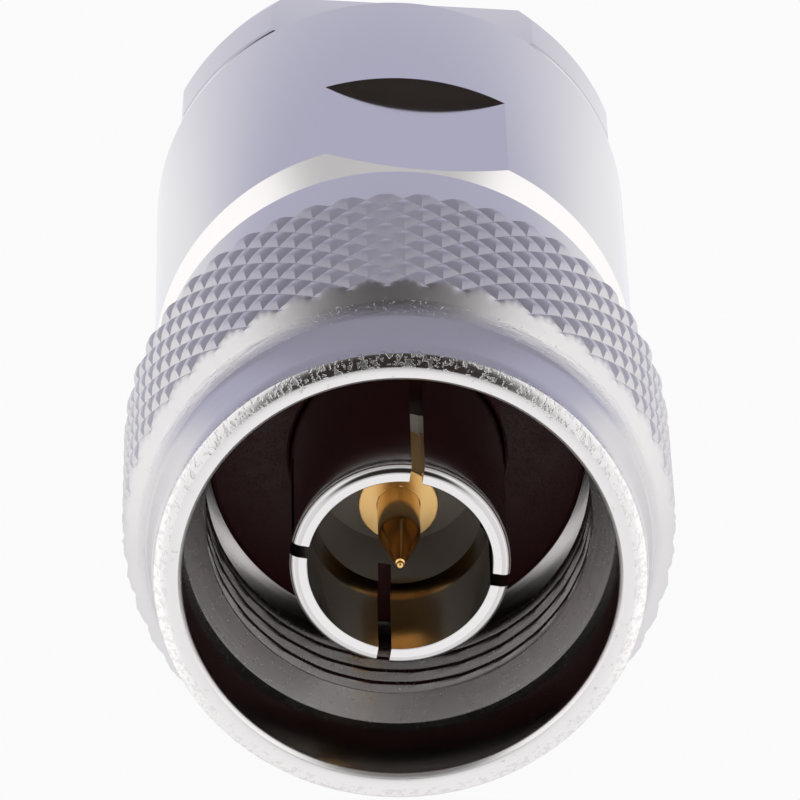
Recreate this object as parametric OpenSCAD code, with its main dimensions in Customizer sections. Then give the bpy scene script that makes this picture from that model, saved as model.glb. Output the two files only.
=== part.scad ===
// N type coaxial cable plug with a knurled coupling nut and a clamped cable entry.
// Origin: centre of the clamp nut's rear face. +Z runs along the axis to the mating end.

/* [Lengths along the axis] */
// Length of the clamp nut's head, rear face to joint line
head_len = 3.45; // [2.6:0.05:5]
// Length of the body's round part
body_len = 14.25; // [11.8:0.05:18]
// Width of the open gap between the body and the coupling nut
neck_gap = 2.43; // [1:0.01:4]
// Length of the coupling nut
nut_len = 16.92; // [14:0.02:21]
// Height of the gasket seat above the coupling nut's rear edge
seat_rise = 4.42; // [4.2:0.02:5]
// Depth of the outer contact's tip below the rim
sleeve_depth = 1.21; // [0.5:0.01:2.5]
// Depth of the centre contact's shoulder below the rim
shoulder_depth = 6.5; // [5:0.05:6.8]
// Depth of the pin's point below the rim
pin_depth = 1.2; // [0.8:0.05:2.5]
// Length of the clamp nut's threaded spigot
clamp_thread_len = 6.5; // [5:0.1:6.6]

/* [Coupling nut] */
// Radius over the knurl
knurl_r = 10.5; // [10.2:0.05:12.6]
// Length of the knurled band, with its rear bevel
knurl_len = 7.74; // [5:0.02:8]
// Height of the cone from the front barrel to the knurl
cone_len = 1.46; // [0.8:0.02:2]
// Radius of the front barrel at the cone
barrel_r = 9.6; // [9.45:0.01:9.9]
// Radius of the front barrel near the rim
rim_r = 9.3; // [9.25:0.01:9.4]
// Radius where the rim's rounded edge ends on the rim face
rim_face_r = 8.86; // [8.7:0.01:9.1]
// Radius of the plain lip behind the knurl
lip_r = 9.36; // [8.8:0.01:10]
// Radius of the smooth lead-in bore
lead_r = 8.22; // [7.9:0.01:8.4]
// Depth of the lead-in bore below the rim
lead_len = 4.39; // [3.5:0.01:4.6]
// Crest radius of the coupling thread (5/8-24 UNEF)
thread_r = 7.37; // [7.3:0.01:7.45]
// Radius of the relief behind the thread
relief_r = 8.0; // [7.95:0.01:8.2]
// Height of the relief above the gasket seat
relief_len = 3.35; // [2:0.05:3.6]
// Width of the chamfer at the mouth
mouth_w = 0.21; // [0.05:0.01:0.25]

/* [Body] */
// Radius of the body
body_r = 9.37; // [8.8:0.01:10.4]
// Distance of each wrench flat from the axis
body_flat = 8.67; // [8.2:0.01:9.3]
// Length of the wrench flats, from the front face
flat_len = 6.5; // [3:0.05:8]
// Direction of the wrench flats about the axis, degrees
flat_turn = 81.53; // [0:0.01:180]
// Radius of the front spigot that the coupling nut turns on
spigot_r = 7.0; // [5.8:0.02:7.1]
// Radius of the clamp thread in the body
clamp_r = 7.0; // [6.8:0.02:7.4]
// Wall between the spigot and the bore inside it
spigot_wall = 1.8; // [1.6:0.05:2]
// Wall left in front of the clamp bore
bulkhead = 1.2; // [1:0.05:2]

/* [Clamp nut] */
// Radius of the clamp nut's head
head_r = 9.4; // [8.9:0.01:10.4]
// Radius at the rear face
head_end_r = 9.13; // [8.6:0.01:9.35]
// Length of the rear bevel
head_bevel = 0.9; // [0.3:0.05:1.5]
// Distance of the wide flats from the axis
head_flat_a = 7.8; // [7.4:0.02:9]
// Distance of the shallow flats from the axis
head_flat_b = 8.55; // [7.8:0.02:9.2]
// Direction of the wide flats about the axis, degrees
head_turn = 83.85; // [0:0.01:180]
// Radius of the cable entry
cable_r = 5.4; // [4.5:0.05:5.6]
// How much smaller than the cable entry the clamping gasket's bore is
gasket_grip = 0.2; // [0.16:0.02:0.5]
// How much larger than the cable entry the slip washer's bore is
washer_gap = 0.2; // [0.16:0.02:0.6]

/* [Outer contact] */
// Bore of the outer contact
sleeve_bore_r = 3.5; // [2.9:0.01:3.6]
// Wall at the outer contact's lip
lip_wall = 0.67; // [0.6:0.01:0.75]
// Wall of the fingers behind the lip
finger_wall = 0.59; // [0.45:0.01:0.6]
// Width of a finger slot
slot_w = 0.5; // [0.3:0.01:0.8]
// Depth of the slots below the rim, on the bore
slot_depth = 8.6; // [6:0.05:9]
// Number of fingers
fingers = 4; // [3:1:6]
// Direction of the first slot about the axis, degrees
slot_turn = 78; // [0:1:90]

/* [Centre contact] */
// Radius of the pin
pin_r = 0.81; // [0.65:0.01:1]
// Length of the pin's straight part
pin_len = 2.65; // [2:0.05:2.8]
// Radius of the pin's point
pin_tip_r = 0.15; // [0.1:0.01:0.3]
// Radius of the contact's barrel
contact_r = 1.52; // [1.4:0.01:1.7]
// Radius of the hole for the cable's conductor
solder_r = 1.15; // [0.9:0.01:1.2]

/* [Seals and inner pieces] */
// Thickness of the front gasket
gasket_t = 1.5; // [1:0.05:1.8]
// Radius of the front gasket
gasket_r = 7.25; // [6.8:0.01:7.5]
// Thickness of the retaining ring
ring_t = 0.9; // [0.6:0.05:1]
// Height of the retaining ring above the coupling nut's rear edge
ring_rise = 1.82; // [1.2:0.02:2.1]
// Width of the retaining ring's opening
ring_open = 2.4; // [1:0.1:4]
// Bore of the braid clamp
braid_r = 3.8; // [3.4:0.05:4]
// Length of the braid clamp
braid_len = 3.6; // [3:0.05:4]
// Thickness of the slip washer
washer_t = 1.0; // [0.6:0.05:1.2]
// Running and sliding clearance on the radius
fit_gap = 0.05; // [0.02:0.01:0.08]
// Clearance between curved faces that turn past each other with no fit
free_gap = 0.3; // [0.25:0.01:0.35]

/* [Hidden] */
$fn = 96;

edge = 0.15;
bevel = 0.2;
sit_gap = 0.02;

z_body = head_len;
z_front = z_body + body_len;
z_nut = z_front + neck_gap;
z_rim = z_nut + nut_len;
z_seat = z_nut + seat_rise;
z_ledge = z_seat - 0.35;
z_ring = z_nut + ring_rise;
z_relief = z_seat + relief_len;
z_lead = z_rim - lead_len;
z_thread = z_lead - (lead_r - thread_r);
z_cone_top = z_rim - 2.9;
z_knurl_top = z_cone_top - cone_len;
z_knurl_base = z_knurl_top - knurl_len;
z_bulkhead = z_front - bulkhead;
z_clamp_end = z_body + clamp_thread_len;

flange_r = spigot_r - spigot_wall;
groove_r = spigot_r - 0.7;
ring_out_r = spigot_r + 0.45;
nut_bore_r = spigot_r + fit_gap;
finger_r = sleeve_bore_r + finger_wall;
sleeve_r = sleeve_bore_r + lip_wall;
seat_bore_r = finger_r + 0.03;
step_r = sleeve_bore_r - 0.3;

z_sleeve = z_rim - sleeve_depth;
z_flange_top = z_seat - 2.05;
z_flange = z_flange_top - 2.0;
z_step = z_rim - 5.5;
z_bead = z_seat + 2.45;
z_waist = z_flange_top - 0.2;
z_shoulder = z_rim - shoulder_depth;
z_pin_tip = z_rim - pin_depth;

waist_r = contact_r - 0.35;
thread_spigot_r = clamp_r - fit_gap;
inner_r = clamp_r - 0.05;
z_braid = z_bulkhead - braid_len;
z_washer = z_clamp_end + washer_t;

// Solid of revolution from [radius, height] points
module turned(points) {
    rotate_extrude() polygon(points);
}

// Straight round hole between two heights, run a little past each end
module bored(r, z0, z1, past = 0.5) {
    translate([0, 0, z0 - past]) cylinder(r = r, h = z1 - z0 + 2 * past);
}

// Blocks that leave two opposite flats at a distance from the axis
module flats(distance, z0, z1, reach = 12) {
    for (side = [0, 180])
        rotate([0, 0, side])
            translate([distance, -reach, z0]) cube([reach, 2 * reach, z1 - z0]);
}

module coupling_nut() {
    color([0.70, 0.69, 0.68])
    turned([
        [nut_bore_r, z_nut], [lip_r - bevel, z_nut], [lip_r, z_nut + bevel],
        [lip_r, z_knurl_base], [knurl_r - 0.3, z_knurl_base], [knurl_r, z_knurl_base + 0.3],
        [knurl_r, z_knurl_top], [barrel_r, z_cone_top], [rim_r + 0.03, z_rim - 0.3],
        [rim_r - 0.12, z_rim - 0.08], [rim_face_r, z_rim], [lead_r + mouth_w, z_rim],
        [lead_r, z_rim - mouth_w], [lead_r, z_lead], [thread_r, z_thread],
        [thread_r, z_relief], [relief_r, z_relief - 0.6], [relief_r, z_ledge],
        [nut_bore_r, z_ledge], [nut_bore_r, z_ring + ring_t + 0.15],
        [ring_out_r + free_gap, z_ring + ring_t + 0.15], [ring_out_r + free_gap, z_ring - 0.15],
        [nut_bore_r, z_ring - 0.15]
    ]);
}

module retaining_ring() {
    color([0.62, 0.60, 0.58])
    difference() {
        turned([
            [groove_r + 0.1, z_ring], [ring_out_r, z_ring],
            [ring_out_r, z_ring + ring_t], [groove_r + 0.1, z_ring + ring_t]
        ]);
        translate([0, -ring_open / 2, z_ring - 1]) cube([spigot_r * 2, ring_open, ring_t + 2]);
    }
}

module body() {
    color([0.74, 0.72, 0.74])
    difference() {
        turned([
            [clamp_r, z_body], [body_r - edge, z_body], [body_r, z_body + edge],
            [body_r, z_front - edge], [body_r - edge, z_front], [spigot_r, z_front],
            [spigot_r, z_ring - 0.05], [groove_r, z_ring - 0.05], [groove_r, z_ring + ring_t + 0.05],
            [spigot_r, z_ring + ring_t + 0.05], [spigot_r, z_seat], [seat_bore_r, z_seat],
            [seat_bore_r, z_flange_top], [flange_r, z_flange_top], [flange_r, z_bulkhead],
            [clamp_r, z_bulkhead]
        ]);
        rotate([0, 0, flat_turn]) flats(body_flat, z_front - flat_len, z_front + 1);
    }
}

module front_gasket() {
    color([0.30, 0.07, 0.06])
    turned([
        [seat_bore_r, z_seat], [gasket_r, z_seat],
        [gasket_r, z_seat + gasket_t], [seat_bore_r, z_seat + gasket_t]
    ]);
}

// Saw cut that leaves a sloping run-out on the outside of the sleeve
module finger_slot() {
    run_out = 2.2;
    z_cut = z_rim - slot_depth;
    rotate([90, 0, 0])
        translate([0, 0, -slot_w / 2])
            linear_extrude(height = slot_w)
                polygon([
                    [sleeve_bore_r - 1, z_cut + run_out],
                    [sleeve_bore_r + 1, z_cut - run_out],
                    [sleeve_bore_r + 1, z_rim + 1], [sleeve_bore_r - 1, z_rim + 1]
                ]);
}

module outer_contact() {
    color([0.72, 0.70, 0.68])
    difference() {
        turned([
            [sleeve_bore_r, z_flange], [flange_r - sit_gap, z_flange],
            [flange_r - sit_gap, z_flange_top], [finger_r, z_flange_top],
            [finger_r, z_sleeve - 1.4], [sleeve_r, z_sleeve - 0.7], [sleeve_r, z_sleeve - 0.4],
            [sleeve_r - 0.12, z_sleeve - 0.12], [sleeve_r - 0.4, z_sleeve],
            [sleeve_bore_r, z_sleeve], [sleeve_bore_r, z_step], [step_r, z_step - 0.8],
            [step_r, z_bead], [sleeve_bore_r, z_bead]
        ]);
        for (i = [0 : fingers - 1])
            rotate([0, 0, slot_turn + i * 360 / fingers]) finger_slot();
    }
}

module front_insulator() {
    color([0.86, 0.84, 0.78])
    turned([
        [waist_r + sit_gap, z_waist], [sleeve_bore_r - sit_gap, z_waist],
        [sleeve_bore_r - sit_gap, z_bead], [waist_r + sit_gap, z_bead]
    ]);
}

module centre_contact() {
    tail = z_bulkhead - 2.5;
    pin_top = z_shoulder + pin_len;
    color([0.83, 0.64, 0.30])
    difference() {
        turned([
            [0, tail], [contact_r, tail], [contact_r, z_waist], [waist_r, z_waist],
            [waist_r, z_bead], [contact_r, z_bead], [contact_r, z_shoulder - 0.1],
            [contact_r - 0.1, z_shoulder], [pin_r, z_shoulder], [pin_r, pin_top],
            [pin_tip_r, z_pin_tip - 0.7 * pin_tip_r], [0.5 * pin_tip_r, z_pin_tip], [0, z_pin_tip]
        ]);
        translate([0, 0, tail - 0.5]) cylinder(r = solder_r, h = 5.5);
    }
}

module rear_insulator() {
    color([0.86, 0.84, 0.78])
    turned([
        [contact_r + sit_gap, z_bulkhead], [flange_r - sit_gap, z_bulkhead],
        [flange_r - sit_gap, z_flange], [sleeve_bore_r - sit_gap, z_flange],
        [sleeve_bore_r - sit_gap, z_waist], [contact_r + sit_gap, z_waist]
    ]);
}

module braid_clamp() {
    color([0.70, 0.68, 0.66])
    turned([
        [braid_r, z_braid], [inner_r - 1.05, z_braid], [inner_r - 0.65, z_bulkhead - 1.6],
        [inner_r, z_bulkhead - 1.6], [inner_r, z_bulkhead], [braid_r, z_bulkhead]
    ]);
}

module clamping_gasket() {
    color([0.10, 0.09, 0.09])
    turned([
        [cable_r - gasket_grip, z_washer], [inner_r - 0.1, z_washer], [inner_r - 0.1, z_braid],
        [cable_r - gasket_grip, z_braid]
    ]);
}

module slip_washer() {
    color([0.66, 0.64, 0.62])
    turned([
        [cable_r + washer_gap, z_clamp_end], [clamp_r - free_gap, z_clamp_end],
        [clamp_r - free_gap, z_washer], [cable_r + washer_gap, z_washer]
    ]);
}

// Head with two wide and two shallow flats, and the threaded spigot in front of it
module clamp_nut() {
    color([0.74, 0.72, 0.74])
    difference() {
        union() {
            difference() {
                turned([
                    [0, 0], [head_end_r, 0], [head_r, head_bevel], [head_r, head_len - edge],
                    [head_r - edge, head_len], [0, head_len]
                ]);
                rotate([0, 0, head_turn]) flats(head_flat_a, -1, head_len + 1);
                rotate([0, 0, head_turn + 90]) flats(head_flat_b, -1, head_len + 1);
            }
            translate([0, 0, head_len - 1]) cylinder(r = thread_spigot_r, h = clamp_thread_len + 1);
        }
        bored(cable_r, 0, z_clamp_end);
    }
}

coupling_nut();
retaining_ring();
body();
front_gasket();
outer_contact();
front_insulator();
centre_contact();
rear_insulator();
braid_clamp();
clamping_gasket();
slip_washer();
clamp_nut();
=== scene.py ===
"""Visual model of a knurled coaxial cable plug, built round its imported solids."""
import math

import bmesh
import bpy
from mathutils import Matrix, Vector


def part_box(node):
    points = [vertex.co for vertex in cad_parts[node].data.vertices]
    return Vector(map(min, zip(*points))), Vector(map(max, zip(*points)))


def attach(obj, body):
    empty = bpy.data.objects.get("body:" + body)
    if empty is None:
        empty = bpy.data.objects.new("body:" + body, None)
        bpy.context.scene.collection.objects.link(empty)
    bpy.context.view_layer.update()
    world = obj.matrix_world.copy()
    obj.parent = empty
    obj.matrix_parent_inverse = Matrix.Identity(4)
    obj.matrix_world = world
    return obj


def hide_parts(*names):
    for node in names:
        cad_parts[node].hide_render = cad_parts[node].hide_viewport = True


bl_info = {
    "name": "Coaxial cable plug",
    "version": (1, 0, 0),
    "blender": (4, 5, 0),
    "location": "3D View > Sidebar > Plug",
    "description": "Builds the plug's turned, knurled and slotted pieces and its studio",
    "category": "Object",
}

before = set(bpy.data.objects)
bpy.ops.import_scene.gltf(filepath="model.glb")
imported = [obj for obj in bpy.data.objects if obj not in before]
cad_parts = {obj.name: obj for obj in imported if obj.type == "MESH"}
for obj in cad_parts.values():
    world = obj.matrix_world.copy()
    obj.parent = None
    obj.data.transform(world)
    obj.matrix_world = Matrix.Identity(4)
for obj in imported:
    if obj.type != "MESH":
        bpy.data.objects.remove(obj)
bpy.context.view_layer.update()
MM = 0.001
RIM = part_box("coupling_nut")[1].z / MM

# Sizes in mm. The nut's heights run down from its rim, and the others up from the rear face.
KNURL_R = 10.5
KNURL_REAR = -12.1
KNURL_ROWS = 12
CONE_FOOT = -2.9
CONE_FOOT_R = 9.60
CONE_RISE = 0.9
CONE_LENGTH = 1.46
LIP_R = 9.36
THREAD_R = 7.37
THREAD_FRONT = -5.24
THREAD_LENGTH = 3.91
BODY_FLAT = 8.67
BODY_FLAT_REAR = 11.2
BODY_FLAT_TURNS = (81.53, 261.53)
CLAMP_FLATS = ((83.85, 7.8), (173.85, 8.55), (263.85, 7.8), (353.85, 8.55))
CLAMP_THREAD_R = 6.95
SLOT_WIDTH = 0.5
SLOT_DEPTH = 8.6
SLOT_SLOPE = 2.2
SLOT_TURN = 78
FINGERS = 4


# ---------------------------------------------------------------- settings

class PlugSizes(bpy.types.PropertyGroup):
    """Sizes of the details that the solids leave plain"""

    knurl_depth: bpy.props.FloatProperty(
        name="Knurl depth", description="Height of a knurl pyramid",
        default=0.20 * MM, min=0.05 * MM, max=0.5 * MM, unit="LENGTH", precision=5)
    knurl_count: bpy.props.IntProperty(
        name="Knurl count", description="Pyramids in one row round the nut",
        default=46, min=30, max=60)
    knurl_worn: bpy.props.FloatProperty(
        name="Knurl wear", description="Share of a pyramid's height worn off its top",
        default=0.35, min=0.0, max=0.6, subtype="FACTOR")
    thread_pitch: bpy.props.FloatProperty(
        name="Thread pitch", description="Pitch of the coupling thread",
        default=1.058 * MM, min=0.5 * MM, max=2 * MM, unit="LENGTH", precision=5)
    thread_depth: bpy.props.FloatProperty(
        name="Thread depth", description="Depth of the coupling thread's grooves",
        default=0.50 * MM, min=0.1 * MM, max=0.7 * MM, unit="LENGTH", precision=5)
    clamp_pitch: bpy.props.FloatProperty(
        name="Clamp pitch", description="Pitch of the clamp nut's thread",
        default=1.0 * MM, min=0.5 * MM, max=2 * MM, unit="LENGTH", precision=5)


class PlugFinish(bpy.types.PropertyGroup):
    """Colours of the finishes"""

    nickel: bpy.props.FloatVectorProperty(
        name="Nickel", description="Plating of the body, nuts and outer contact",
        default=(0.74, 0.715, 0.70), size=3, subtype="COLOR", min=0, max=1)
    gold: bpy.props.FloatVectorProperty(
        name="Gold", description="Plating of the centre contact",
        default=(0.78, 0.50, 0.20), size=3, subtype="COLOR", min=0, max=1)
    steel: bpy.props.FloatVectorProperty(
        name="Steel", description="Spring steel of the retaining ring",
        default=(0.50, 0.48, 0.46), size=3, subtype="COLOR", min=0, max=1)
    seal: bpy.props.FloatVectorProperty(
        name="Seal", description="Rubber of the front gasket",
        default=(0.072, 0.011, 0.010), size=3, subtype="COLOR", min=0, max=1)
    bead: bpy.props.FloatVectorProperty(
        name="Bead", description="Plastic of the insulating beads",
        default=(0.80, 0.77, 0.70), size=3, subtype="COLOR", min=0, max=1)
    rubber: bpy.props.FloatVectorProperty(
        name="Rubber", description="Black rubber of the cable clamp's gasket",
        default=(0.02, 0.02, 0.02), size=3, subtype="COLOR", min=0, max=1)


class PlugStudio(bpy.types.PropertyGroup):
    """Camera and light"""

    lens: bpy.props.FloatProperty(
        name="Lens", description="Focal length in millimetres on a 36 mm sensor",
        default=486.6, min=50, max=1000)
    sky: bpy.props.FloatProperty(
        name="Sky", description="Strength of the soft light all round",
        default=1.0, min=0, max=5)


# ---------------------------------------------------------------- mesh tools

def turn(bm, profile, finish, steps):
    """Spins an open run of (radius, height) points in mm about Z and gives the new faces a finish."""
    stretch = bmesh.new()
    verts = [stretch.verts.new((r * MM, 0, z * MM)) for r, z in profile]
    edges = [stretch.edges.new(pair) for pair in zip(verts, verts[1:])]
    bmesh.ops.spin(stretch, geom=verts + edges, cent=(0, 0, 0), axis=(0, 0, 1),
                   angle=math.tau, steps=steps, use_merge=len(profile) < 20, use_duplicate=False)
    bmesh.ops.remove_doubles(stretch, verts=stretch.verts, dist=0.0004 * MM)
    for f in stretch.faces:
        f.material_index = finish
    mesh = bpy.data.meshes.new("stretch")
    stretch.to_mesh(mesh)
    stretch.free()
    first = len(bm.faces)
    bm.from_mesh(mesh)
    bpy.data.meshes.remove(mesh)
    bm.faces.ensure_lookup_table()
    return bm.faces[first:]


def close(bm):
    """Joins the turned stretches into one skin that faces outwards."""
    bmesh.ops.remove_doubles(bm, verts=bm.verts, dist=0.0004 * MM)
    bmesh.ops.dissolve_degenerate(bm, edges=bm.edges, dist=0.0001 * MM)
    bmesh.ops.recalc_face_normals(bm, faces=bm.faces)


def piece(name, bm, body, materials, nodes=(), crease=16):
    """Makes the skin an object that rides on a body and stands for CAD nodes."""
    mesh = bpy.data.meshes.new(name)
    bm.to_mesh(mesh)
    bm.free()
    for m in materials:
        mesh.materials.append(m)
    obj = bpy.data.objects.new(name, mesh)
    bpy.context.scene.collection.objects.link(obj)
    soften(obj, crease)
    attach(obj, body)
    if nodes:
        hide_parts(*nodes)
    return obj


def soften(obj, crease):
    """Smooth shading with sharp edges above an angle in degrees."""
    obj.data.polygons.foreach_set("use_smooth", [True] * len(obj.data.polygons))
    obj.data.set_sharp_from_angle(angle=math.radians(crease))


def slab(size, place, turn_deg=0.0):
    """A block cutter in mm, turned about Z."""
    bm = bmesh.new()
    bmesh.ops.create_cube(bm, size=1.0)
    bmesh.ops.scale(bm, vec=Vector(size) * MM, verts=bm.verts)
    bmesh.ops.translate(bm, vec=Vector(place) * MM, verts=bm.verts)
    bmesh.ops.rotate(bm, cent=(0, 0, 0), matrix=Matrix.Rotation(math.radians(turn_deg), 3, "Z"),
                     verts=bm.verts)
    return bm


def cut(bm, cutters):
    """Cuts the closed cutters out of a closed skin and returns the new skin."""
    made = []
    for part in [bm] + cutters:
        mesh = bpy.data.meshes.new("cutting")
        part.to_mesh(mesh)
        part.free()
        obj = bpy.data.objects.new("cutting", mesh)
        bpy.context.scene.collection.objects.link(obj)
        made.append(obj)
    for cutter in made[1:]:
        step = made[0].modifiers.new("cut", "BOOLEAN")
        step.operation = "DIFFERENCE"
        step.solver = "EXACT"
        step.object = cutter
    bpy.context.view_layer.update()
    result = made[0].evaluated_get(bpy.context.evaluated_depsgraph_get())
    out = bmesh.new()
    out.from_mesh(result.to_mesh())
    result.to_mesh_clear()
    for obj in made:
        mesh = obj.data
        bpy.data.objects.remove(obj)
        bpy.data.meshes.remove(mesh)
    return out


def arc(cx, cz, radius, start, end, count):
    """Points on a profile's round corner, in mm and degrees."""
    turns = [math.radians(start + (end - start) * i / count) for i in range(count + 1)]
    return [(cx + radius * math.cos(t), cz + radius * math.sin(t)) for t in turns]


def helix(bm, crest, depth, pitch, low, high, inside):
    """Sinks a V thread into the ring of vertices at the crest radius, fading out at both ends."""
    for v in bm.verts:
        r, z = math.hypot(v.co.x, v.co.y) / MM, v.co.z / MM
        if abs(r - crest) > 0.002 or not low <= z <= high:
            continue
        phase = (z / pitch - math.atan2(v.co.y, v.co.x) / math.tau) % 1.0
        fade = min(1.0, (z - low) / (0.5 * pitch), (high - z) / (0.5 * pitch))
        wave = max(0.0, 1.0 - abs(phase - 0.5) / 0.36)
        grown = 1 + (depth * fade * wave / r) * (1 if inside else -1)
        v.co.x *= grown
        v.co.y *= grown


# ---------------------------------------------------------------- shader tools

class Nodes:
    """Short way to place and join shader nodes in a tree"""

    def __init__(self, tree):
        self.tree = tree

    def add(self, kind, **values):
        node = self.tree.nodes.new(kind)
        for key, value in values.items():
            setattr(node, key, value)
        return node

    def join(self, a, b):
        self.tree.links.new(a, b)

    def feed(self, socket, value):
        if isinstance(value, bpy.types.NodeSocket):
            self.join(value, socket)
        else:
            socket.default_value = value

    def math(self, operation, a, b=0.0, clamp=False):
        node = self.add("ShaderNodeMath", operation=operation, use_clamp=clamp)
        self.feed(node.inputs[0], a)
        self.feed(node.inputs[1], b)
        return node.outputs[0]

    def ramp(self, value, low, high, to_low=0.0, to_high=1.0, smooth=True):
        node = self.add("ShaderNodeMapRange",
                        interpolation_type="SMOOTHSTEP" if smooth else "LINEAR")
        for socket, v in zip(node.inputs, (value, low, high, to_low, to_high)):
            self.feed(socket, v)
        return node.outputs[0]

    def mix(self, factor, a, b):
        node = self.add("ShaderNodeMix", data_type="RGBA")
        self.feed(node.inputs[0], factor)
        self.feed(node.inputs[6], a)
        self.feed(node.inputs[7], b)
        return node.outputs[2]

    def noise(self, vector, scale, detail=2.0, rough=0.5):
        node = self.add("ShaderNodeTexNoise")
        self.feed(node.inputs["Vector"], vector)
        node.inputs["Scale"].default_value = scale
        node.inputs["Detail"].default_value = detail
        node.inputs["Roughness"].default_value = rough
        return node.outputs["Fac"]

    def group(self, tree, **values):
        node = self.add("ShaderNodeGroup")
        node.node_tree = tree
        for key, value in values.items():
            self.feed(node.inputs[key], value)
        return node.outputs


def new_group(name, inputs, outputs):
    """An empty shader node group with named float inputs and outputs."""
    tree = bpy.data.node_groups.new(name, "ShaderNodeTree")
    for label, value in inputs:
        socket = tree.interface.new_socket(name=label, in_out="INPUT", socket_type="NodeSocketFloat")
        socket.default_value = value
    for label in outputs:
        tree.interface.new_socket(name=label, in_out="OUTPUT", socket_type="NodeSocketFloat")
    n = Nodes(tree)
    return tree, n, n.add("NodeGroupInput").outputs, n.add("NodeGroupOutput").inputs


def in_mm(n):
    """Object coordinates in millimetres."""
    place = n.add("ShaderNodeTexCoord")
    scale = n.add("ShaderNodeVectorMath", operation="SCALE")
    n.join(place.outputs["Object"], scale.inputs[0])
    scale.inputs["Scale"].default_value = 1000.0
    return scale.outputs[0]


def polar(n):
    """Cosine, sine and height plus radius of a point about the turning axis, in mm."""
    split = n.add("ShaderNodeSeparateXYZ")
    n.join(in_mm(n), split.inputs[0])
    x, y, z = split.outputs
    radius = n.math("SQRT", n.math("ADD", n.math("MULTIPLY", x, x), n.math("MULTIPLY", y, y)))
    safe = n.math("MAXIMUM", radius, 0.01)
    return n.math("DIVIDE", x, safe), n.math("DIVIDE", y, safe), n.math("ADD", z, radius)


def turned_marks_group():
    """Fine rings and broken streaks that a lathe tool leaves round the axis."""
    tree, n, given, out = new_group(
        "Turned marks", [("Length", 5.0), ("Fineness", 14.0)], ["Height"])
    cosine, sine, along = polar(n)
    join = n.add("ShaderNodeCombineXYZ")
    n.join(n.math("MULTIPLY", cosine, given["Length"]), join.inputs[0])
    n.join(n.math("MULTIPLY", sine, given["Length"]), join.inputs[1])
    n.join(n.math("MULTIPLY", along, given["Fineness"]), join.inputs[2])
    n.join(n.noise(join.outputs[0], 1.0, 4.0, 0.65), out["Height"])
    return tree


def pits_group():
    """Small pits and specks. Mask is 1 in a pit; Height falls in it."""
    tree, n, given, out = new_group(
        "Pits", [("Density", 6.0), ("Share", 0.3)], ["Mask", "Height"])
    scale = n.add("ShaderNodeVectorMath", operation="SCALE")
    n.join(in_mm(n), scale.inputs[0])
    n.join(given["Density"], scale.inputs["Scale"])
    fine = n.noise(scale.outputs[0], 1.0, 3.0, 0.6)
    edge = n.math("SUBTRACT", 1.0, given["Share"])
    mask = n.ramp(fine, n.math("SUBTRACT", edge, 0.05), n.math("ADD", edge, 0.05))
    n.join(mask, out["Mask"])
    n.join(n.math("SUBTRACT", 1.0, mask), out["Height"])
    return tree


def haze_group():
    """Slow cloudy change of the shine."""
    tree, n, given, out = new_group("Haze", [("Size", 0.3)], ["Value"])
    scale = n.add("ShaderNodeVectorMath", operation="SCALE")
    n.join(in_mm(n), scale.inputs[0])
    n.join(given["Size"], scale.inputs["Scale"])
    n.join(n.noise(scale.outputs[0], 1.0, 3.0, 0.55), out["Value"])
    return tree


def shared(name, build):
    """A node group made once and then reused."""
    return bpy.data.node_groups.get(name) or build()


def new_material(name):
    mat = bpy.data.materials.new(name)
    mat.use_nodes = True
    n = Nodes(mat.node_tree)
    shader = mat.node_tree.nodes["Principled BSDF"]
    return mat, n, shader


def metal(name, colour, rough, streaks=0.0, length=5.0, fineness=14.0, specks=0.0, density=6.0,
          share=0.3, haze=0.06, dirt=0.0):
    """Plated metal: lathe streaks and specks as height, cloudy roughness, darker pits."""
    known = bpy.data.materials.get(name)
    if known:
        return known
    mat, n, shader = new_material(name)
    shader.inputs["Metallic"].default_value = 1.0
    cloud = n.group(shared("Haze", haze_group), Size=0.35)["Value"]
    marks = n.group(shared("Turned marks", turned_marks_group), Length=length,
                    Fineness=fineness)["Height"]
    pits = n.group(shared("Pits", pits_group), Density=density, Share=share)
    if dirt:
        dull = (colour[0] * 0.25, colour[1] * 0.22, colour[2] * 0.2, 1)
        shade = n.mix(n.math("MULTIPLY", pits["Mask"], dirt), (*colour, 1), dull)
        n.join(shade, shader.inputs["Base Color"])
    else:
        shader.inputs["Base Color"].default_value = (*colour, 1)
    n.join(n.math("ADD", rough, n.math("ADD", n.math("MULTIPLY", n.math("SUBTRACT", cloud, 0.5), haze),
                                       n.math("MULTIPLY", pits["Mask"], 0.25 * min(1.0, specks))),
                  clamp=True), shader.inputs["Roughness"])
    height = n.math("ADD", n.math("MULTIPLY", marks, streaks), n.math("MULTIPLY", pits["Height"], specks))
    bump = n.add("ShaderNodeBump")
    bump.inputs["Strength"].default_value = 1.0
    bump.inputs["Distance"].default_value = 0.01 * MM
    n.join(height, bump.inputs["Height"])
    n.join(bump.outputs[0], shader.inputs["Normal"])
    return mat


def soft_material(name, colour, rough, grain, mottle=0.15):
    """Rubber or plastic with a fine grain."""
    known = bpy.data.materials.get(name)
    if known:
        return known
    mat, n, shader = new_material(name)
    cloud = n.group(shared("Haze", haze_group), Size=1.2)["Value"]
    pits = n.group(shared("Pits", pits_group), Density=12.0, Share=0.4)
    darker = tuple(c * (1 - mottle) for c in colour)
    n.join(n.mix(cloud, (*darker, 1), (*colour, 1)), shader.inputs["Base Color"])
    n.join(n.ramp(cloud, 0.2, 0.8, rough - 0.06, rough + 0.06), shader.inputs["Roughness"])
    shader.inputs["Specular IOR Level"].default_value = 0.3
    bump = n.add("ShaderNodeBump")
    bump.inputs["Strength"].default_value = 1.0
    bump.inputs["Distance"].default_value = grain * MM
    n.join(pits["Height"], bump.inputs["Height"])
    n.join(bump.outputs[0], shader.inputs["Normal"])
    return mat


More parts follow.
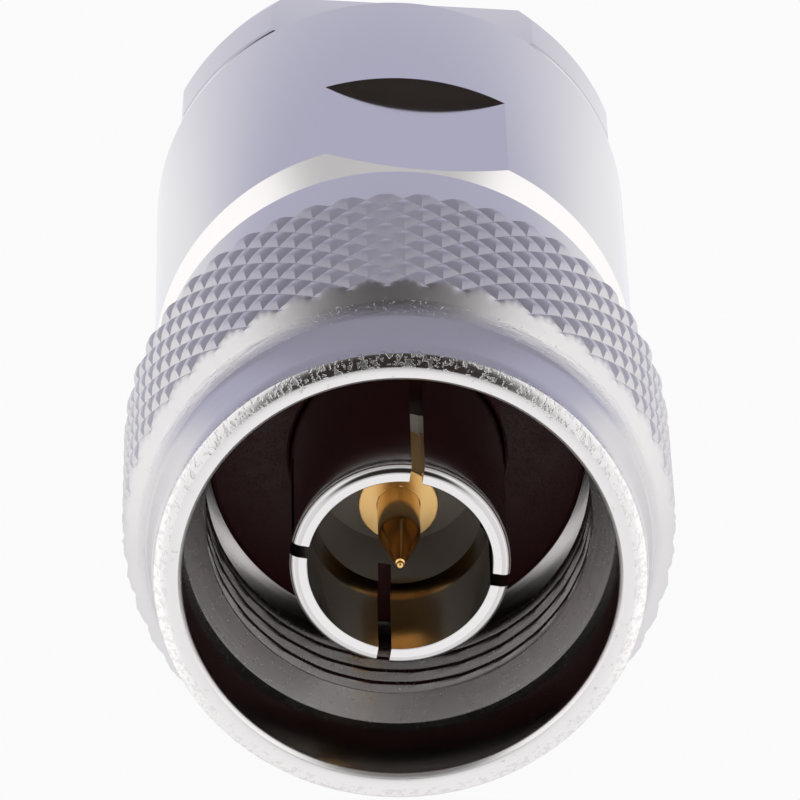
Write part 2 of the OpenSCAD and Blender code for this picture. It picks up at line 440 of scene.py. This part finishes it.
# Each metal finish: the colour it takes, how far painted shade darkens that colour (for pieces in recesses),
# and its marks
FINISHES = {
    "nickel_turned": dict(tone="nickel", rough=0.22, streaks=0.35, length=2.0, fineness=9.0,
                          specks=0.2, density=1.6, share=0.24, dirt=0.1),
    "nickel_brushed": dict(tone="nickel", rough=0.30, streaks=1.6, length=7.0, fineness=11.0,
                           specks=0.6, density=7.0, share=0.35),
    "nickel_knurled": dict(tone="nickel", rough=0.34, streaks=0.15, specks=0.25, density=5.0),
    "nickel_rim_edge": dict(tone="nickel", rough=0.15, streaks=0.4, length=14.0, fineness=6.0,
                            specks=0.6, density=4.5, share=0.45, dirt=0.12),
    "nickel_rim_face": dict(tone="nickel", rough=0.30, streaks=0.4, length=9.0, fineness=3.0,
                            specks=0.6, density=3.2, share=0.31, dirt=0.18),
    "nickel_bore": dict(tone="nickel", rough=0.16, streaks=0.25, length=1.0, fineness=6.0),
    # painted shade: the thread finish is darkened to 0.62 of the nickel for the shade in the recesses where
    # the threads sit
    "nickel_thread": dict(tone="nickel", shade=0.62, rough=0.27, streaks=0.7, length=3.0,
                          fineness=12.0, specks=0.4),
    "nickel_polished": dict(tone="nickel", rough=0.10, streaks=0.10, length=0.8, fineness=1.2,
                            haze=0.05),
    "nickel_inside": dict(tone="nickel", rough=0.35, streaks=0.8, specks=0.3),
    # painted shade: the outer contact's sleeve is darkened to 0.80 of the nickel for the shade inside the
    # coupling nut
    "nickel_sleeve": dict(tone="nickel", shade=0.80, rough=0.12, streaks=0.15, length=1.0,
                          fineness=8.0),
    "nickel_sleeve_face": dict(tone="nickel", rough=0.22, streaks=0.4, length=6.0, fineness=10.0,
                               specks=0.3),
    "gold_plated": dict(tone="gold", rough=0.17, streaks=0.15, length=1.0, fineness=10.0),
    "gold_face": dict(tone="gold", rough=0.28, streaks=0.3, length=2.0, fineness=8.0),
    "spring_steel": dict(tone="steel", rough=0.35, streaks=0.4),
}


def finishes(scene, *names):
    """The materials of the named finishes, each made when it is first asked for."""
    found = []
    for name in names:
        marks = dict(FINISHES[name])
        # shade is painted shade: it darkens a finish's colour for pieces that sit in recesses
        shade = marks.pop("shade", 1.0)
        colour = [c * shade for c in getattr(scene.plug_finish, marks.pop("tone"))]
        found.append(metal(name, colour, **marks))
    return found


# ---------------------------------------------------------------- pieces

class PLUG_OT_coupling_nut(bpy.types.Operator):
    """Turns the coupling nut with its knurl and its inside thread"""

    bl_idname = "plug.coupling_nut"
    bl_label = "Coupling nut"

    def execute(self, context):
        size = context.scene.plug_sizes
        looks = finishes(context.scene, "nickel_turned", "nickel_brushed", "nickel_knurled",
                         "nickel_rim_edge", "nickel_rim_face", "nickel_bore", "nickel_thread")
        turned, brushed, knurled, edge, face, bore, thread = range(7)
        count = size.knurl_count * 8
        at = lambda points: [(r, RIM + z) for r, z in points]
        bm = bmesh.new()
        lattice = 0.5 * math.tau * KNURL_R / size.knurl_count
        rear = KNURL_REAR
        front = rear + KNURL_ROWS * lattice
        cone = lambda z: CONE_FOOT_R + CONE_RISE * (-z + CONE_FOOT) / CONE_LENGTH
        self.knurl(bm, size, lattice, cone, knurled)
        turn(bm, at([(cone(front), front), (CONE_FOOT_R, CONE_FOOT)]), brushed, count)
        turn(bm, at([(CONE_FOOT_R, CONE_FOOT), (9.52, -2.45), (9.43, -1.8), (9.36, -1.0), (9.32, -0.40)]),
             turned, count)
        turn(bm, at([(9.32, -0.40), (9.27, -0.25), (9.15, -0.16), (9.0, -0.085), (8.88, -0.03), (8.8, 0.0)]),
             edge, count)
        turn(bm, at([(8.8, 0.0), (8.43, 0.0)]), face, count)
        turn(bm, at([(8.43, 0.0), (8.37, -0.015), (8.25, -0.14), (8.22, -0.21)]), face, count)
        turn(bm, at([(8.22, -0.21), (8.22, -4.39)]), bore, count)
        turn(bm, at([(8.22, -4.39), (THREAD_R, THREAD_FRONT)]), thread, count)
        cuts = 96
        crest = [(THREAD_R, THREAD_FRONT - THREAD_LENGTH * i / cuts) for i in range(cuts + 1)]
        turn(bm, at(crest), thread, count)
        helix(bm, THREAD_R, size.thread_depth / MM, size.thread_pitch / MM,
              RIM + THREAD_FRONT - THREAD_LENGTH, RIM + THREAD_FRONT, True)
        turn(bm, at([(THREAD_R, -9.15), (8.0, -9.75), (8.0, -12.85), (7.05, -12.85), (7.05, -14.05),
                     (7.75, -14.05), (7.75, -15.25), (7.05, -15.25), (7.05, -16.82),
                     (7.15, -16.92)]), bore, count)
        turn(bm, at([(7.15, -16.92), (9.21, -16.92)]), turned, count)
        turn(bm, at([(9.21, -16.92), (9.31, -16.87), (LIP_R, -16.77), (LIP_R, rear)]), turned, count)
        self.step(bm, rear, count, turned)
        close(bm)
        piece("coupling_nut_turned", bm, "coupling", looks, ["coupling_nut"], crease=24)
        return {"FINISHED"}

    def knurl(self, bm, size, lattice, cone, finish):
        """Rows of four-sided pyramids between crossing grooves, clipped by the front cone."""
        count, depth, worn = size.knurl_count, size.knurl_depth / MM, size.knurl_worn
        rear = KNURL_REAR
        points = [(KNURL_R, RIM + rear + i * lattice) for i in range(KNURL_ROWS + 1)]
        new = turn(bm, points, finish, 2 * count)
        for f in new:
            low = [v for v in f.verts if self.even(v, lattice, rear, count)]
            if len(low) == 2:
                bmesh.utils.face_split(f, low[0], low[1])
        bmesh.ops.subdivide_edges(bm, edges=bm.edges[:], cuts=3, use_grid_fill=True)
        for f in bm.faces:
            f.material_index = finish
        for v in bm.verts:
            angle, z = math.atan2(v.co.y, v.co.x), v.co.z / MM - RIM
            around = angle / math.tau * count
            along = (z - rear) / (2 * lattice)
            near = max(abs((around + along) % 1 - 0.5), abs((around - along) % 1 - 0.5))
            tall = min(1.0, (1 - 2 * near) / (1 - worn))
            r = min(KNURL_R - depth * (1 - tall), cone(z) if z > -5 else 99)
            v.co = Vector((r * math.cos(angle) * MM, r * math.sin(angle) * MM, v.co.z))

    def even(self, v, lattice, rear, count):
        """Is this corner of the lattice a crossing of two grooves?"""
        m = round(math.atan2(v.co.y, v.co.x) / math.tau * 2 * count)
        n = round((v.co.z / MM - RIM - rear) / lattice)
        return (m + n) % 2 == 0

    def step(self, bm, rear, count, finish):
        """The shoulder between the knurl's rear edge and the plain lip."""
        z = (RIM + rear) * MM
        rim = [v for v in bm.verts if abs(v.co.z - z) < 1e-7 and math.hypot(v.co.x, v.co.y) > 9.5 * MM]
        rim = set(rim)
        outer = [e for e in bm.edges if e.verts[0] in rim and e.verts[1] in rim
                 and len(e.link_faces) == 1]
        grown = bmesh.ops.extrude_edge_only(bm, edges=outer)["geom"]
        for v in [g for g in grown if isinstance(g, bmesh.types.BMVert)]:
            r = math.hypot(v.co.x, v.co.y)
            v.co.x *= LIP_R * MM / r
            v.co.y *= LIP_R * MM / r
        for f in [g for g in grown if isinstance(g, bmesh.types.BMFace)]:
            f.material_index = finish


class PLUG_OT_body(bpy.types.Operator):
    """Turns the body and mills its two wrench flats"""

    bl_idname = "plug.body"
    bl_label = "Body"

    def execute(self, context):
        looks = finishes(context.scene, "nickel_polished", "nickel_turned", "nickel_inside")
        polished, plain, inside = range(3)
        bm = bmesh.new()
        steps = 256
        turn(bm, [(7.0, 3.45), (9.22, 3.45)], plain, steps)
        turn(bm, [(9.22, 3.45), (9.33, 3.49), (9.37, 3.60), (9.37, 17.70)], polished, steps)
        turn(bm, [(9.37, 17.70), (8.25, 18.82)], plain, steps)
        turn(bm, [(8.25, 18.82), (7.0, 18.82), (7.0, 21.9), (6.3, 21.9), (6.3, 22.9), (7.0, 22.9),
                  (7.0, 24.45), (6.9, 24.55), (4.12, 24.55)], plain, steps)
        turn(bm, [(4.12, 24.55), (4.12, 22.5), (5.2, 22.5), (5.2, 16.5), (7.0, 16.5), (7.0, 3.45)],
             inside, steps)
        close(bm)
        cutters = [slab((6, 24, 20), (BODY_FLAT + 3, 0, BODY_FLAT_REAR + 10), side)
                    for side in BODY_FLAT_TURNS]
        bm = cut(bm, cutters)
        piece("body_turned", bm, "shell", looks, ["body"], crease=14)
        return {"FINISHED"}


class PLUG_OT_clamp_nut(bpy.types.Operator):
    """Turns the clamp nut, mills its flats and cuts its outside thread"""

    bl_idname = "plug.clamp_nut"
    bl_label = "Clamp nut"

    def execute(self, context):
        size = context.scene.plug_sizes
        looks = finishes(context.scene, "nickel_polished", "nickel_inside", "nickel_thread")
        polished, inside, thread = range(3)
        bm = bmesh.new()
        steps = 256
        turn(bm, [(5.55, 0.0), (9.08, 0.0)], polished, steps)
        turn(bm, [(9.08, 0.0), (9.13, 0.03), (9.38, 0.86), (9.40, 0.94), (9.40, 3.26), (9.36, 3.39),
                  (9.22, 3.45)], polished, steps)
        turn(bm, [(9.22, 3.45), (7.0, 3.45), (6.95, 3.5)], polished, steps)
        fine = [(CLAMP_THREAD_R, 3.5 + 6.3 * i / 100) for i in range(101)]
        turn(bm, fine, thread, steps)
        helix(bm, CLAMP_THREAD_R, 0.45, size.clamp_pitch / MM, 3.55, 9.8, False)
        turn(bm, [(6.95, 9.8), (6.8, 9.95), (5.5, 9.95), (5.4, 9.85), (5.4, 0.15), (5.55, 0.0)],
             inside, steps)
        close(bm)
        cutters = []
        for side, distance in CLAMP_FLATS:
            cutters.append(slab((6, 24, 4.45), (distance + 3, 0, 1.225), side))
        bm = cut(bm, cutters)
        piece("clamp_nut_turned", bm, "clamp", looks, ["clamp_nut"], crease=14)
        return {"FINISHED"}


class PLUG_OT_outer_contact(bpy.types.Operator):
    """Turns the outer contact and saws its four slots"""

    bl_idname = "plug.outer_contact"
    bl_label = "Outer contact"

    def execute(self, context):
        looks = finishes(context.scene, "nickel_sleeve", "nickel_sleeve_face")
        bm = bmesh.new()
        steps = 240
        tip = RIM - 1.21
        turn(bm, [(3.5, 20.5), (5.18, 20.5), (5.18, 22.5), (4.09, 22.5), (4.09, tip - 1.4),
                  (4.17, tip - 0.7), (4.17, tip - 0.38)] + arc(3.83, tip - 0.34, 0.34, 0, 90, 8),
             0, steps)
        turn(bm, [(3.83, tip), (3.53, tip)], 1, steps)
        turn(bm, [(3.53, tip), (3.5, tip - 0.03), (3.5, RIM - 5.5), (3.2, RIM - 6.3), (3.2, 27.0),
                  (3.5, 27.0), (3.5, 20.5)], 0, steps)
        close(bm)
        bm = cut(bm, [self.saw(SLOT_TURN + 360 / FINGERS * i) for i in range(FINGERS)])
        piece("outer_contact_slotted", bm, "shell", looks, ["outer_contact"], crease=20)
        return {"FINISHED"}

    def saw(self, angle):
        """One slot's cutter, whose floor slopes outwards as a round saw leaves it."""
        bm = slab((2.0, SLOT_WIDTH, 10.0), (3.5, 0, 0))
        floor = RIM - SLOT_DEPTH
        for v in bm.verts:
            if v.co.z < 0:
                v.co.z = (floor + (SLOT_SLOPE if v.co.x < 3.5 * MM else -SLOT_SLOPE)) * MM
            else:
                v.co.z = (RIM + 1) * MM
        bmesh.ops.rotate(bm, cent=(0, 0, 0), matrix=Matrix.Rotation(math.radians(angle), 3, "Z"),
                         verts=bm.verts)
        return bm


class PLUG_OT_centre_contact(bpy.types.Operator):
    """Turns the gold centre contact"""

    bl_idname = "plug.centre_contact"
    bl_label = "Centre contact"

    def execute(self, context):
        looks = finishes(context.scene, "gold_plated", "gold_face")
        bm = bmesh.new()
        steps = 128
        shoulder, top, tail = RIM - 6.5, RIM - 3.85, 14.0
        ball = RIM - 1.35
        turn(bm, [(0, tail + 5.0), (1.15, tail + 5.0), (1.15, tail), (1.5, tail), (1.52, tail + 0.02),
                  (1.52, 22.3), (1.17, 22.3), (1.17, 27.0), (1.52, 27.0), (1.52, shoulder - 0.06),
                  (1.50, shoulder - 0.02), (1.46, shoulder)], 0, steps)
        turn(bm, [(1.46, shoulder), (0.84, shoulder)], 1, steps)
        turn(bm, [(0.84, shoulder), (0.81, shoulder + 0.03), (0.81, top - 0.12), (0.803, top),
                  (0.78, top + 0.12), (0.18, ball - 0.14)]
             + arc(0, ball, 0.15, -35, 90, 10), 0, steps)
        close(bm)
        piece("centre_contact_pin", bm, "shell", looks, ["centre_contact"], crease=24)
        return {"FINISHED"}


class PLUG_OT_seals(bpy.types.Operator):
    """Moulds the two rubber gaskets"""

    bl_idname = "plug.seals"
    bl_label = "Seals"

    def execute(self, context):
        finish = context.scene.plug_finish
        front = bmesh.new()
        turn(front, [(4.12, 24.55), (7.25, 24.55), (7.25, 25.9), (7.18, 26.0), (7.05, 26.05),
                     (4.25, 26.05), (4.16, 26.02), (4.12, 25.93), (4.12, 24.55)], 0, 160)
        close(front)
        piece("front_gasket_ring", front, "shell",
              [soft_material("seal_rubber", finish.seal, 0.42, 0.004)], ["front_gasket"])
        rear = bmesh.new()
        turn(rear, [(5.3, 10.95), (6.85, 10.95), (6.85, 12.9), (5.3, 12.9), (5.3, 10.95)], 0, 128)
        close(rear)
        piece("clamping_gasket_ring", rear, "shell",
              [soft_material("clamp_rubber", finish.rubber, 0.55, 0.006)], ["clamping_gasket"])
        return {"FINISHED"}


class PLUG_OT_inner_pieces(bpy.types.Operator):
    """Finishes the pieces inside the plug"""

    bl_idname = "plug.inner_pieces"
    bl_label = "Inner pieces"

    def execute(self, context):
        finish = context.scene.plug_finish
        plated, steel = finishes(context.scene, "nickel_inside", "spring_steel")
        plastic = soft_material("bead_plastic", finish.bead, 0.5, 0.004, 0.05)
        looks = {
            "retaining_ring": steel,
            "front_insulator": plastic,
            "rear_insulator": plastic,
            "braid_clamp": plated,
            "slip_washer": plated,
        }
        for name, look in looks.items():
            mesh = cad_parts[name].data
            mesh.materials.clear()
            mesh.materials.append(look)
        return {"FINISHED"}


# ---------------------------------------------------------------- studio

class PLUG_OT_studio(bpy.types.Operator):
    """Sets up the floor with its painted reflections, the soft light and the camera"""

    bl_idname = "plug.studio"
    bl_label = "Studio"

    def execute(self, context):
        studio = context.scene.plug_studio
        self.floor()
        self.sky(context.scene, studio.sky)
        self.camera(context.scene, studio.lens)
        context.scene.view_settings.view_transform = "Standard"
        return {"FINISHED"}

    def floor(self):
        bm = bmesh.new()
        bmesh.ops.create_grid(bm, x_segments=2, y_segments=2, size=0.4)
        bmesh.ops.translate(bm, vec=(0, 0, -0.02 * MM), verts=bm.verts)
        mesh = bpy.data.meshes.new("floor")
        bm.to_mesh(mesh)
        bm.free()
        mat = bpy.data.materials.new("floor_paper")
        mat.use_nodes = True
        tree = mat.node_tree
        tree.nodes.clear()
        n = Nodes(tree)
        # painted reflections: glossy rays see the floor glow violet-grey near the plug, darker ahead of it,
        # dark far ahead and bright at the sides; camera rays see even white and other rays plain paper
        split = n.add("ShaderNodeSeparateXYZ")
        n.join(in_mm(n), split.inputs[0])
        back = n.ramp(split.outputs[1], -14.0, 0.0)
        shade = n.mix(back, (0.53, 0.535, 0.70, 1), (0.93, 0.94, 0.98, 1))
        painted_darker_ahead = n.ramp(split.outputs[1], -18.0, -32.0)
        shade = n.mix(painted_darker_ahead, shade, (0.34, 0.34, 0.44, 1))
        far = n.ramp(n.math("ABSOLUTE", n.math("DIVIDE", split.outputs[0], split.outputs[1])), 0.95, 0.4)
        painted_dark_far = n.math("MULTIPLY", n.ramp(split.outputs[1], -90.0, -150.0), far)
        shade = n.mix(painted_dark_far, shade, (0.035, 0.03, 0.03, 1))
        painted_bright_sides = n.ramp(n.math("ABSOLUTE", split.outputs[0]), 60.0, 140.0)
        shade = n.mix(painted_bright_sides, shade, (1.25, 1.25, 1.27, 1))
        path = n.add("ShaderNodeLightPath")
        seen = n.mix(path.outputs["Is Camera Ray"], shade, (0.96, 0.96, 0.96, 1))
        glow = n.add("ShaderNodeEmission")
        n.join(seen, glow.inputs["Color"])
        paper = n.add("ShaderNodeBsdfDiffuse")
        paper.inputs["Color"].default_value = (0.85, 0.85, 0.86, 1)
        keep = n.add("ShaderNodeMixShader")
        direct = n.math("MAXIMUM", path.outputs["Is Camera Ray"],
                        path.outputs["Is Glossy Ray"])
        n.join(direct, keep.inputs[0])
        n.join(paper.outputs[0], keep.inputs[1])
        n.join(glow.outputs[0], keep.inputs[2])
        result = n.add("ShaderNodeOutputMaterial")
        n.join(keep.outputs[0], result.inputs["Surface"])
        mesh.materials.append(mat)
        obj = bpy.data.objects.new("floor", mesh)
        bpy.context.scene.collection.objects.link(obj)

    def sky(self, scene, strength):
        world = bpy.data.worlds.new("studio")
        scene.world = world
        world.use_nodes = True
        tree = world.node_tree
        tree.nodes.clear()
        n = Nodes(tree)
        way = n.add("ShaderNodeTexCoord").outputs["Generated"]
        split = n.add("ShaderNodeSeparateXYZ")
        n.join(way, split.inputs[0])
        x, y, z = split.outputs
        flat = n.math("MAXIMUM", n.math("SQRT", n.math("ADD", n.math("MULTIPLY", x, x),
                                                       n.math("MULTIPLY", y, y))), 0.001)
        front = n.ramp(n.math("DIVIDE", n.math("MULTIPLY", y, -1.0), flat), 0.74, 0.93)
        level = n.ramp(n.math("ABSOLUTE", n.math("SUBTRACT", z, 0.05)), 0.42, 0.2)
        dot = n.add("ShaderNodeVectorMath", operation="DOT_PRODUCT")
        n.join(way, dot.inputs[0])
        dot.inputs[1].default_value = (-0.0069, -0.4232, 0.906)
        hole = n.ramp(dot.outputs["Value"], 0.77, 0.93)
        dark = n.math("MAXIMUM", n.math("MULTIPLY", front, level), hole)
        side = n.math("MULTIPLY", n.ramp(n.math("ABSOLUTE", z), 0.65, 0.45),
                      n.ramp(n.math("ABSOLUTE", n.math("DIVIDE", x, flat)), 0.5, 0.75))
        light = n.mix(side, (1.12, 1.13, 1.16, 1), (1.38, 1.38, 1.40, 1))
        shade = n.mix(dark, light, (0.035, 0.028, 0.026, 1))
        path = n.add("ShaderNodeLightPath")
        seen = n.mix(path.outputs["Is Camera Ray"], shade, (1, 1, 1, 1))
        glow = n.add("ShaderNodeBackground")
        n.join(seen, glow.inputs["Color"])
        glow.inputs["Strength"].default_value = strength
        result = n.add("ShaderNodeOutputWorld")
        n.join(glow.outputs[0], result.inputs["Surface"])

    def camera(self, scene, lens):
        data = bpy.data.cameras.new("camera")
        data.lens = lens
        data.sensor_width = 36.0
        data.clip_start = 0.01
        data.clip_end = 10.0
        obj = bpy.data.objects.new("camera", data)
        scene.collection.objects.link(obj)
        right = Vector((-0.99895819, 0.04378188, 0.01287211))
        up = Vector((-0.04511421, -0.90497218, -0.42307217))
        back = right.cross(up)
        turn_to = Matrix((right, up, back)).transposed().to_4x4()
        obj.matrix_world = Matrix.Translation(Vector((-3.0697, -177.858, RIM + 364.786)) * MM) @ turn_to
        scene.camera = obj


class VIEW3D_PT_plug(bpy.types.Panel):
    """Sidebar panel with the plug's settings and steps"""

    bl_label = "Plug"
    bl_space_type = "VIEW_3D"
    bl_region_type = "UI"
    bl_category = "Plug"

    def draw(self, context):
        scene = context.scene
        for group in (scene.plug_sizes, scene.plug_finish, scene.plug_studio):
            box = self.layout.box()
            for name in group.__annotations__:
                box.prop(group, name)
        for step in STEPS:
            self.layout.operator(step.bl_idname)


GROUPS = (PlugSizes, PlugFinish, PlugStudio)
STEPS = (PLUG_OT_studio, PLUG_OT_coupling_nut, PLUG_OT_body, PLUG_OT_clamp_nut, PLUG_OT_outer_contact,
         PLUG_OT_centre_contact, PLUG_OT_seals, PLUG_OT_inner_pieces)
CLASSES = GROUPS + STEPS + (VIEW3D_PT_plug,)


def register():
    for cls in CLASSES:
        bpy.utils.register_class(cls)
    bpy.types.Scene.plug_sizes = bpy.props.PointerProperty(type=PlugSizes)
    bpy.types.Scene.plug_finish = bpy.props.PointerProperty(type=PlugFinish)
    bpy.types.Scene.plug_studio = bpy.props.PointerProperty(type=PlugStudio)


def unregister():
    del bpy.types.Scene.plug_studio
    del bpy.types.Scene.plug_finish
    del bpy.types.Scene.plug_sizes
    for cls in reversed(CLASSES):
        bpy.utils.unregister_class(cls)


def main():
    register()
    bpy.ops.plug.studio()
    bpy.ops.plug.coupling_nut()
    bpy.ops.plug.body()
    bpy.ops.plug.clamp_nut()
    bpy.ops.plug.outer_contact()
    bpy.ops.plug.centre_contact()
    bpy.ops.plug.seals()
    bpy.ops.plug.inner_pieces()


if __name__ == "__main__":
    main()
